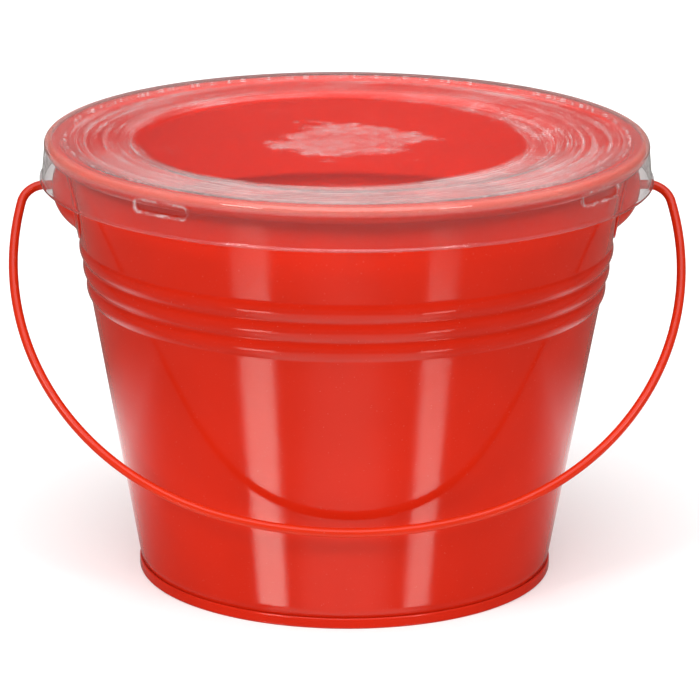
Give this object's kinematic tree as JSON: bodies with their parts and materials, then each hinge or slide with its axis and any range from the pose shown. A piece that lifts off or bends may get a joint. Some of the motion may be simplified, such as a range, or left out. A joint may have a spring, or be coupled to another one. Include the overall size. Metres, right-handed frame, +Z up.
{
  "type": "sand bucket",
  "caption": "Tapered red sheet-metal pail with rolled beads, a hinged wire bail on domed ears, and a clear press-on lid with a stacking recess.",
  "frame": {"origin": "centre of the pail's base, on the ground", "axes": "+Z up along the pail's axis; +X along the bail's pivot, from the left ear to the right ear; -Y is the front, where the bail hangs"},
  "size_m": [0.2486, 0.2268, 0.1657],
  "materials": {
    "pail_paint": "gloss red enamel on tinplate",
    "bail_coat": "gloss red powder coat on steel wire",
    "clear_lid": "clear, rubbed and scuffed on top"
  },
  "bodies": {
    "pail": {"pail_wall": "pail_paint", "pail_bottom": "pail_paint", "left_ear": "pail_paint", "right_ear": "pail_paint"},
    "bail": {"bail": "bail_coat"},
    "lid": {"lid": "clear_lid"}
  },
  "joints": [
    {"name": "bail_swing", "type": "hinge", "parent": "pail", "child": "bail", "pos_m": [0, 0, 0.1466], "axis": [-1, 0, 0], "range_deg": [-2.6, 281.4]},
    {"name": "lid_lift", "type": "slide", "parent": "pail", "child": "lid", "axis": [0, 0, 1], "range_m": [0, 0.06]}
  ]
}
